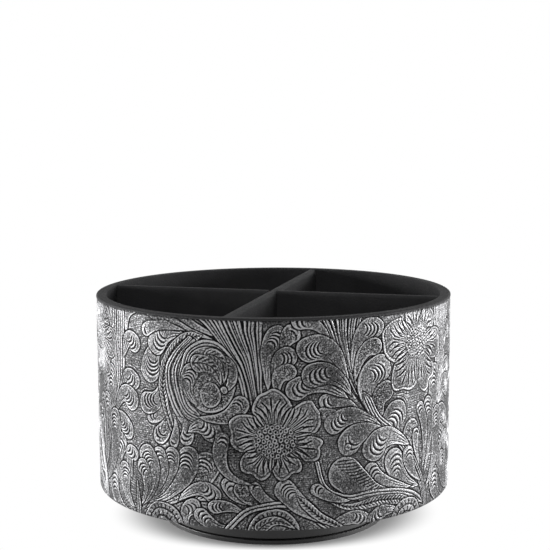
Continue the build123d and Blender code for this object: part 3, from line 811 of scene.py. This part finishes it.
def new_material(name):
    """A material with its node tree emptied down to a Principled shader on the output."""
    material = bpy.data.materials.new(name)
    tree = emptied_tree(material)
    shader = tree.add("ShaderNodeBsdfPrincipled")
    tree.add("ShaderNodeOutputMaterial", {"Surface": shader.outputs[0]})
    return material, tree, shader


def wire(tree, shader, inputs):
    """Sets or links a shader's sockets by name."""
    for label, value in inputs.items():
        tree.give(shader.inputs[label], value)


def use_group(tree, group, **values):
    """Places an effect group with its own values, on Object coordinates."""
    node = tree.add("ShaderNodeGroup", node_tree=group)
    tree.link(tree.place(), node.inputs["Place"])
    for label, value in values.items():
        node.inputs[label].default_value = value
    return node.outputs


def tooled_leatherette(grain, finish):
    """Pewter rubbed over black: ridges keep the pewter, cuts and matted ground keep the black."""
    material, tree, shader = new_material("tooled_leatherette")
    rub = tree.add("ShaderNodeAttribute", attribute_name="rub").outputs["Fac"]
    pebble = use_group(tree, grain, Scale=1500.0, Crease=0.4)
    patch = tree.span(pebble["Wear"], 0.35, 0.65, *PATCHES)
    speck = tree.span(tree.noise(tree.place(), 1700.0), 0.3, 0.7, *SPECKS)
    worn = tree.math("ADD", tree.math("ADD", rub, patch), speck)
    flats = tree.blend(tree.span(worn, *INK_TO_PEWTER), finish.ink, finish.pewter)
    colour = tree.blend(tree.span(worn, *PEWTER_TO_BRIGHT), flats, finish.bright_pewter)
    wire(tree, shader, {
        "Base Color": colour,
        "Metallic": tree.span(worn, -0.10, 0.05, 0.0, 0.45),
        "Roughness": tree.span(worn, -0.15, 0.15, 0.52, 0.44),
        "Specular IOR Level": 0.11,
        "Specular Tint": (0.05, 0.05, 0.05, 1),
        "Normal": tree.bump(pebble["Height"], strength=0.25, distance=0.12 * MM),
    })
    return material


def black_leatherette(grain, finish):
    """Fine black leatherette, greyer where it is rubbed, with pewter caught on the rim's outer edge."""
    material, tree, shader = new_material("black_leatherette")
    pebble = use_group(tree, grain, Scale=850.0, Crease=0.8)
    colour = tree.blend(tree.span(pebble["Wear"], 0.3, 0.75), finish.black, finish.black_rubbed)
    place = tree.place()
    radius = tree.vector("LENGTH", tree.vector("MULTIPLY", place, (1.0, 1.0, 0.0)))
    z = tree.add("ShaderNodeSeparateXYZ", {0: place}).outputs["Z"]
    outside = tree.span(radius, *((RIM_RADIUS - inset) * MM for inset in SPECK_EDGE))
    below = tree.span(z, *((RIM_TOP - drop) * MM for drop in SPECK_DROP), 1.0, 0.0)
    specks = tree.math("MULTIPLY", below, tree.span(tree.noise(place, 900.0), 0.4, 0.6))
    colour = tree.blend(tree.math("MULTIPLY", outside, specks), colour, finish.pewter)
    wire(tree, shader, {
        "Base Color": colour,
        "Roughness": tree.span(pebble["Height"], 0.2, 0.9, 0.72, 0.58),
        "Specular IOR Level": 0.05,
        "Normal": tree.bump(pebble["Height"], strength=0.5, distance=0.2 * MM),
    })
    return material


class Surface(NamedTuple):
    """How a finish in two tones is made.

    It has an effect group and its scale, the output that mixes the tones and the range it mixes over, the
    bump's strength and distance, and constants for the shader. Where gloss names an output, that adds up to
    the gain to the roughness.
    """
    effect: str
    scale: float
    tone: str
    mixed: tuple
    bump: tuple
    constants: dict
    gloss: str = ""
    gain: float = 0.0


NAP = Surface(
    "fibres", 420.0, "Tone", (0.15, 0.4), (0.6, 0.4 * MM),
    {"Roughness": 0.95, "Specular IOR Level": 0.1, "Sheen Weight": 0.25},
)
BOARD = Surface(
    "fibres", 260.0, "Tone", (0.12, 0.45), (0.3, 0.2 * MM), {"Roughness": 0.88, "Specular IOR Level": 0.2},
)
MOULDING = Surface(
    "moulded", 1500.0, "Cloud", (0.35, 0.7), (0.25, 0.1 * MM), {"Specular IOR Level": 0.4}, "Cloud", 0.08,
)
PLATING = Surface(
    "moulded", 2500.0, "Cloud", (0.35, 0.7), (0.08, 0.05 * MM), {"Metallic": 1.0}, "Height", 0.12,
)

# Darker and paler tone of the finishes that the sidebar doesn't list
GREYBOARD = ((0.24, 0.21, 0.175, 1), (0.42, 0.38, 0.33, 1))
FIBREBOARD = ((0.27, 0.18, 0.105, 1), (0.48, 0.35, 0.23, 1))
NYLON = ((0.66, 0.64, 0.57, 1), (0.76, 0.74, 0.68, 1))
ZINC = ((0.52, 0.53, 0.55, 1), (0.66, 0.67, 0.69, 1))
BALL_STEEL = ((0.64, 0.65, 0.67, 1), (0.74, 0.75, 0.77, 1))


def two_tone(name, surface, tones, rough=None):
    """A finish that one output of an effect group mixes from two tones, bumped by the group's height."""
    material, tree, shader = new_material(name)
    effect = use_group(tree, EFFECTS[surface.effect], Scale=surface.scale)
    inputs = dict(surface.constants)
    inputs["Base Color"] = tree.blend(tree.span(effect[surface.tone], *surface.mixed), *tones)
    inputs["Normal"] = tree.bump(effect["Height"], *surface.bump)
    if surface.gloss:
        inputs["Roughness"] = tree.span(effect[surface.gloss], 0.3, 0.7, rough, rough + surface.gain)
    wire(tree, shader, inputs)
    return material


def foam_rubber(texture, finish):
    """Closed-cell foam: small pits and a dusty bloom."""
    material, tree, shader = new_material("foam_rubber")
    skin = use_group(tree, texture, Scale=900.0)
    pits = tree.add("ShaderNodeTexVoronoi", {"Vector": tree.place(), "Scale": 1300.0}).outputs["Distance"]
    colour = tree.blend(tree.span(skin["Cloud"], 0.3, 0.75), finish.rubber, finish.rubber_bloom)
    wire(tree, shader, {
        "Base Color": colour,
        "Roughness": 0.9,
        "Specular IOR Level": 0.2,
        "Normal": tree.bump(pits, strength=0.5, distance=0.3 * MM),
    })
    return material


def swatch(name, description, default):
    """A linear colour with alpha that the sidebar shows as a swatch."""
    return bpy.props.FloatVectorProperty(
        name=name, description=description, subtype="COLOR", size=4, min=0, max=1, default=(*default, 1.0),
    )


def number(name, description, default, **kind):
    """A number that the sidebar shows, with its unit, subtype or limits."""
    return bpy.props.FloatProperty(name=name, description=description, default=default, **kind)


class HolderFinish(bpy.types.PropertyGroup):
    """Colours of the holder's finishes."""
    ink: swatch("Ink", "Black left in the tooling's cuts", (0.006, 0.006, 0.0065))
    pewter: swatch("Pewter", "Middle tone of the rubbed skin", (0.072, 0.072, 0.0738))
    bright_pewter: swatch("Bright pewter", "Burnished ridges", (0.34, 0.34, 0.347))
    black: swatch("Black", "Leatherette of lining, rim and dividers", (0.022, 0.022, 0.0229))
    black_rubbed: swatch("Rubbed black", "The same where it is rubbed", (0.033, 0.033, 0.0339))
    flannel: swatch("Flannel", "Floor pads between the strands", (0.010, 0.010, 0.011))
    flannel_nap: swatch("Flannel nap", "Floor pads along the strands", (0.030, 0.030, 0.032))
    plastic: swatch("Plastic", "Turntable mouldings", (0.011, 0.011, 0.0115))
    plastic_cloud: swatch("Plastic cloud", "Paler clouds in the mouldings", (0.017, 0.017, 0.0178))
    rubber: swatch("Rubber", "Anti-slip pad", (0.020, 0.020, 0.021))
    rubber_bloom: swatch("Rubber bloom", "Dusty bloom on the pad", (0.045, 0.045, 0.046))


class HolderSkin(bpy.types.PropertyGroup):
    """Sizes of the tooled skin."""
    facing: number("Facing", "Direction that the middle flower faces", math.radians(-75), subtype="ANGLE")
    relief: number("Relief", "Scale of the tooling's depth", 0.7, min=0.0, max=1.5)


class HolderStage(bpy.types.PropertyGroup):
    """Camera and light of the studio stage."""
    azimuth: number("Azimuth", "Camera's side, from straight in front", math.radians(15), subtype="ANGLE")
    distance: number("Distance", "Level distance from axis to camera", 0.61446, unit="LENGTH")
    height: number("Height", "Height of the camera above the floor", 0.19296, unit="LENGTH")
    sideways: number("Sideways", "Camera's place to the right of the axis", 0.00076, unit="LENGTH")
    pitch: number("Pitch", "How far the camera looks down", 0.1344, subtype="ANGLE")
    roll: number("Roll", "How far the picture leans clockwise", -0.0038, subtype="ANGLE")
    lens: number("Lens", "Focal length on a 36 mm sensor", 89.35, unit="CAMERA")
    side_power: number("Side power", "Power of each side softbox", 18.5, unit="POWER")
    front_power: number("Front power", "Power of the softbox beside the camera", 3.6, unit="POWER")
    top_power: number("Top power", "Power of the overhead softbox", 1.5, unit="POWER")
    ambient: number("Ambient", "Strength of the light from all round", 0.15, min=0.0)


def rub_of(height, v):
    """How far the tooling stands out of what is around it, a little more on swells, less at the top edge."""
    around_cells, swell_share, lead = 4, 0.08, 0.01
    bare_edge, bare_rub = 0.8, 0.15
    around = box_blur(height, around_cells)
    wear = height - around + swell_share * (around - GROUND) + lead
    return wear - bare_rub * smooth(SKIN_HEIGHT - bare_edge, SKIN_HEIGHT, v)[:, None]


def skin_points(height, settings):
    """Points of the whole skin, its rub, and how many of its rows lie outside.

    Each section runs from the hem's edge under the tub, round the corner and up the wall, then back down
    inside. The wall's radius is the skin's, less how far the tooling lies below its proudest height.
    """
    v = np.linspace(0, SKIN_HEIGHT, WALL_ROWS + 1)
    corner = HEM_ROUND - np.sqrt(np.clip(HEM_ROUND**2 - (HEM_ROUND - v) ** 2, 0, None))
    corner = np.where(v < HEM_ROUND, corner, 0)
    fade_low, fade_top = 1.2, 0.9
    fade = smooth(0, fade_low, v) * smooth(SKIN_HEIGHT, SKIN_HEIGHT - fade_top, v)
    turns = np.tile(height, (1, REPEATS))
    relief = np.minimum(turns - PROUD, 0) * settings.relief * fade[:, None]
    wall = (SKIN_RADIUS - corner)[:, None] + relief
    hem = np.linspace(HEM_INNER_RADIUS, SKIN_RADIUS - HEM_ROUND, HEM_ROWS + 1)[:-1]
    first_drop, inner_rows = 2, 6
    inner_z = np.linspace(SKIN_TOP - first_drop, HEM_TOP, inner_rows)
    inner_z = np.concatenate([[SKIN_TOP], inner_z, [HEM_TOP]])
    inner_radius = np.full(len(inner_z), SKIN_INNER_RADIUS)
    inner_radius[-1] = HEM_INNER_RADIUS
    columns = turns.shape[1]
    z = np.concatenate([np.full(HEM_ROWS, SKIN_BOTTOM), SKIN_BOTTOM + v, inner_z])
    hem, inner_radius, z = (np.tile(rows[:, None], columns) for rows in (hem, inner_radius, z))
    radius = np.vstack([hem, wall, inner_radius])
    u = np.arange(columns) * TILE_WIDTH / TILE_COLUMNS - TILE_WIDTH / 2
    angle = settings.facing + u / SKIN_RADIUS
    points = np.stack([radius * np.cos(angle), radius * np.sin(angle), z], -1) * MM
    outer = HEM_ROWS + len(v)
    rub = np.zeros(radius.shape)
    rub[HEM_ROWS:outer] = np.tile(rub_of(height, v), (1, REPEATS))
    return points, rub, outer


def section_cap(outer, inner, columns, column):
    """Triangles that close a panel's end: a strip between the many outer rows and the few inner ones."""
    rows = np.arange(outer)
    match = np.round(rows * (inner - 1) / (outer - 1)).astype(int)
    inner_rows = outer + inner - 1 - match
    low, high = rows[:-1], rows[1:]
    fans = np.stack([low, inner_rows[:-1], high], -1)
    steps = np.flatnonzero(np.diff(match))
    joins = np.stack([high[steps], inner_rows[steps], inner_rows[steps + 1]], -1)
    return np.vstack([fans, joins]) * columns + column


def skin_panel(name, points, normals, rub, outer):
    """One closed panel of the skin, with its rub attribute, bake map and normals."""
    rows, columns = rub.shape
    quads = grid_quads(rows, columns, wrap_rows=True)
    first, last = (section_cap(outer, rows - outer, columns, c) for c in (0, columns - 1))
    mesh = fill_mesh(name, points.reshape(-1, 3), quads, np.vstack([first[:, ::-1], last]))
    mesh.attributes.new("rub", "FLOAT", "POINT").data.foreach_set("value", rub.astype(np.float32).ravel())
    across = np.linspace(*BAKE_ACROSS, columns)
    up = [np.linspace(*BAKE_OUTER, outer), np.linspace(*BAKE_INNER, rows - outer), [BAKE_CLOSE]]
    up = np.concatenate(up)
    i, j = np.divmod(quads, columns)
    i[:, 2:] = np.where(i[:, 2:] == 0, rows, i[:, 2:])
    cell_map = np.stack([across[j], up[i]], -1).reshape(-1, 2)
    ends = []
    for triangles, at in zip((first[:, ::-1], last), BAKE_ENDS):
        row = triangles // columns
        inside = row >= outer
        match = (rows - 1 - row) * (outer - 1) / (rows - outer - 1)
        ends.append(np.stack([
            np.where(inside, at + BAKE_END_WIDTH, at),
            np.interp(np.where(inside, match, row), np.arange(outer), up[:outer]),
        ], -1).reshape(-1, 2))
    bake_map = mesh.uv_layers.new(name="OFBake")
    bake_map.uv.foreach_set("vector", np.vstack([cell_map, *ends]).astype(np.float32).ravel())
    mesh.normals_split_custom_set_from_vertices(normals.reshape(-1, 3))
    return mesh


class HOLDER_OT_tooled_skin(bpy.types.Operator):
    """Press the ornament and wrap it round the tub as closed panels"""
    bl_idname = "holder.tooled_skin"
    bl_label = "Tooled Skin"

    def execute(self, context):
        settings, finish = context.scene.holder_skin, context.scene.holder_finish
        height = Tooling().lay(MOTIFS)
        points, rub, outer = skin_points(height, settings)
        round_tub = np.roll(points, -1, 1) - np.roll(points, 1, 1)
        up_section = np.roll(points, -1, 0) - np.roll(points, 1, 0)
        normals = unit(np.cross(round_tub, up_section))
        material = tooled_leatherette(EFFECTS["pebble"], finish)
        whole = rub.shape[1]
        share = whole // PANELS
        first = TILE_COLUMNS // 2 - share // 2
        for panel in range(PANELS):
            columns = (first + panel * share + np.arange(share + 1)) % whole
            name = f"skin_panel_{panel + 1}"
            mesh = skin_panel(name, points[:, columns], normals[:, columns], rub[:, columns], outer)
            add_piece(name, mesh, material, "holder", "tooled_leatherette", "outer_skin")
        return {"FINISHED"}


def dress(material, *names):
    """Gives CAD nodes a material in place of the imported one."""
    for name in names:
        slots = NODES[name].data.materials
        slots.clear()
        slots.append(material)


class HOLDER_OT_leather_trim(bpy.types.Operator):
    """Finish the lining, rim binding, divider covers and underside cover in black leatherette"""
    bl_idname = "holder.leather_trim"
    bl_label = "Leather Trim"

    def execute(self, context):
        material = black_leatherette(EFFECTS["pebble"], context.scene.holder_finish)
        dress(material, "inner_lining", "rim_binding", "underside_cover")
        dress(material, "divider_x_cover", "divider_y_cover")
        return {"FINISHED"}


class HOLDER_OT_boards_and_pads(bpy.types.Operator):
    """Finish the boards inside the wall, floor and dividers, and the flannel floor pads"""
    bl_idname = "holder.boards_and_pads"
    bl_label = "Boards and Pads"

    def execute(self, context):
        finish = context.scene.holder_finish
        dress(two_tone("flannel", NAP, (finish.flannel, finish.flannel_nap)), "floor_pads")
        dress(two_tone("greyboard", BOARD, GREYBOARD), "wall_core")
        dress(two_tone("fibreboard", BOARD, FIBREBOARD), "floor_board", "divider_x_board", "divider_y_board")
        return {"FINISHED"}


class HOLDER_OT_turntable(bpy.types.Operator):
    """Finish the turntable's mouldings, bearing, fasteners and pad"""
    bl_idname = "holder.turntable"
    bl_label = "Turntable"

    def execute(self, context):
        finish = context.scene.holder_finish
        plastic = two_tone("black_plastic", MOULDING, (finish.plastic, finish.plastic_cloud), rough=0.42)
        dress(plastic, "turntable_top", "turntable_foot")
        dress(two_tone("natural_nylon", MOULDING, NYLON, rough=0.38), "ball_cage", "pivot_bush")
        zinc = two_tone("zinc_steel", PLATING, ZINC, rough=0.30)
        dress(zinc, "pivot_bolt", "pivot_washer", "pivot_lock_nut", "turntable_screws")
        dress(two_tone("ball_steel", PLATING, BALL_STEEL, rough=0.08), "bearing_balls")
        dress(foam_rubber(EFFECTS["moulded"], finish), "anti_slip_pad")
        return {"FINISHED"}


def seen_mask(tree):
    """1 for rays from the camera, off gloss or through glass, which see the white background."""
    path = tree.add("ShaderNodeLightPath").outputs
    either = tree.math("MAXIMUM", path["Is Camera Ray"], path["Is Glossy Ray"])
    return tree.math("MAXIMUM", either, path["Is Transmission Ray"])


def floor_material(azimuth):
    """Pale matt floor, white to the camera but for the shadow, which painted shade deepens and a painted fade
    ends sooner in front.
    """
    material = bpy.data.materials.new("studio_floor")
    tree = emptied_tree(material)
    distance = tree.vector("LENGTH", tree.place())
    # The fade reaches less far towards the camera than to the sides, which paints where the shadow ends
    across = (math.cos(azimuth), math.sin(azimuth), 0.0)
    sideways = tree.vector("DOT_PRODUCT", tree.vector("NORMALIZE", tree.place()), across)
    squared = tree.math("MULTIPLY", sideways, sideways)
    reach = tree.span(squared, 0.0, 1.0, SHADOW_END_FRONT, SHADOW_END_SIDE)
    paper = tree.blend(tree.noise(tree.place(), 300.0), (0.78, 0.78, 0.78, 1), (0.80, 0.80, 0.80, 1))
    matt = tree.add("ShaderNodeBsdfDiffuse", {"Color": paper}).outputs[0]
    glow = tree.add("ShaderNodeEmission", {"Strength": 0.13}).outputs[0]
    # Painted shade: near the object the camera sees this darker colour with a faint glow, not the paler paper
    # that light bounces off
    shade = tree.add("ShaderNodeBsdfDiffuse", {"Color": (0.42, 0.42, 0.42, 1)}).outputs[0]
    near = tree.add("ShaderNodeAddShader", {0: shade, 1: glow}).outputs[0]
    far = tree.add("ShaderNodeEmission", {"Strength": 1.0}).outputs[0]
    inputs = {0: distance, 1: SHADOW_START, 2: reach}
    fade = tree.add("ShaderNodeMapRange", inputs, interpolation_type="SMOOTHSTEP").outputs[0]
    shown = tree.add("ShaderNodeMixShader", {0: fade, 1: near, 2: far}).outputs[0]
    surface = tree.add("ShaderNodeMixShader", {0: seen_mask(tree), 1: matt, 2: shown}).outputs[0]
    tree.add("ShaderNodeOutputMaterial", {"Surface": surface})
    return material


def studio_world(ambient):
    """White to the camera and to gloss, dimmer as light on the object."""
    world = bpy.data.worlds.new("studio")
    tree = emptied_tree(world)
    strength = tree.span(seen_mask(tree), 0.0, 1.0, ambient, 1.0)
    background = tree.add("ShaderNodeBackground", {"Color": (1, 1, 1, 1), "Strength": strength})
    tree.add("ShaderNodeOutputWorld", {"Surface": background.outputs[0]})
    return world


def aim(obj, place, target):
    """Puts an object somewhere and turns it to face a point."""
    obj.location = place
    obj.rotation_euler = (Vector(target) - Vector(place)).to_track_quat("-Z", "Y").to_euler()


def softbox(name, power, size, place, target):
    """A rectangular area light."""
    light = bpy.data.lights.new(name, "AREA")
    light.shape = "RECTANGLE"
    light.size, light.size_y = size
    light.energy = power
    aim(add_object(name, light), place, target)


def photo_camera(stage):
    """A camera at the photograph's angle: its place and axes from azimuth, distance, pitch and roll."""
    right = Vector((math.cos(stage.azimuth), math.sin(stage.azimuth), 0))
    ahead = Vector((-math.sin(stage.azimuth), math.cos(stage.azimuth), 0))
    over = Vector((0, 0, 1))
    look = ahead * math.cos(stage.pitch) - over * math.sin(stage.pitch)
    above = ahead * math.sin(stage.pitch) + over * math.cos(stage.pitch)
    x = right * math.cos(stage.roll) + above * math.sin(stage.roll)
    y = above * math.cos(stage.roll) - right * math.sin(stage.roll)
    data = bpy.data.cameras.new("camera")
    data.sensor_width = 36.0
    data.lens = stage.lens
    data.clip_start = 0.01
    camera = add_object("camera", data)
    place = right * stage.sideways - ahead * stage.distance + over * stage.height
    camera.matrix_world = Matrix.Translation(place) @ Matrix((x, y, -look)).transposed().to_4x4()
    return camera


class HOLDER_OT_stage(bpy.types.Operator):
    """Lay the floor, hang the softboxes and set the camera"""
    bl_idname = "holder.stage"
    bl_label = "Stage"

    def execute(self, context):
        scene, stage = context.scene, context.scene.holder_stage
        ring = np.linspace(0, FLOOR_RADIUS, FLOOR_RINGS)
        ring[0] = MM
        angle = np.linspace(0, 2 * math.pi, FLOOR_SIDES, endpoint=False)
        points = np.stack([
            ring[:, None] * np.cos(angle),
            ring[:, None] * np.sin(angle),
            np.zeros((len(ring), len(angle))),
        ], -1)
        quads = grid_quads(len(ring), len(angle), wrap_columns=True)[:, ::-1]
        floor = add_object("studio_floor", fill_mesh("studio_floor", points.reshape(-1, 3), quads))
        floor.data.materials.append(floor_material(stage.azimuth))
        scene.world = studio_world(stage.ambient)
        for name, power, turn, size, far, z in SOFTBOXES:
            a = stage.azimuth + math.radians(turn)
            softbox(name, getattr(stage, power), size, (far * math.sin(a), -far * math.cos(a), z), AIM)
        scene.camera = photo_camera(stage)
        scene.view_settings.view_transform = "Standard"
        return {"FINISHED"}


class HOLDER_PT_sidebar(bpy.types.Panel):
    """Lists the holder's settings and the steps that build it"""
    bl_label = "Rotating Holder"
    bl_idname = "HOLDER_PT_sidebar"
    bl_space_type = "VIEW_3D"
    bl_region_type = "UI"
    bl_category = "Holder"

    def draw(self, context):
        for group in (context.scene.holder_skin, context.scene.holder_finish, context.scene.holder_stage):
            column = self.layout.column(align=True)
            for label in group.__annotations__:
                column.prop(group, label)
        for step in STEPS:
            self.layout.operator(step.bl_idname)


STEPS = (
    HOLDER_OT_tooled_skin,
    HOLDER_OT_leather_trim,
    HOLDER_OT_boards_and_pads,
    HOLDER_OT_turntable,
    HOLDER_OT_stage,
)
SETTINGS = {"holder_finish": HolderFinish, "holder_skin": HolderSkin, "holder_stage": HolderStage}


def register():
    for group in (*SETTINGS.values(), *STEPS, HOLDER_PT_sidebar):
        bpy.utils.register_class(group)
    for label, group in SETTINGS.items():
        setattr(bpy.types.Scene, label, bpy.props.PointerProperty(type=group))


def unregister():
    for label in SETTINGS:
        delattr(bpy.types.Scene, label)
    for group in (HOLDER_PT_sidebar, *reversed(STEPS), *SETTINGS.values()):
        bpy.utils.unregister_class(group)


def main():
    """Builds every piece and the stage."""
    register()
    EFFECTS.update(pebble=pebble_group(), moulded=moulded_group(), fibres=fibre_group())
    bpy.ops.holder.tooled_skin()
    bpy.ops.holder.leather_trim()
    bpy.ops.holder.boards_and_pads()
    bpy.ops.holder.turntable()
    bpy.ops.holder.stage()


if __name__ == "__main__":
    main()
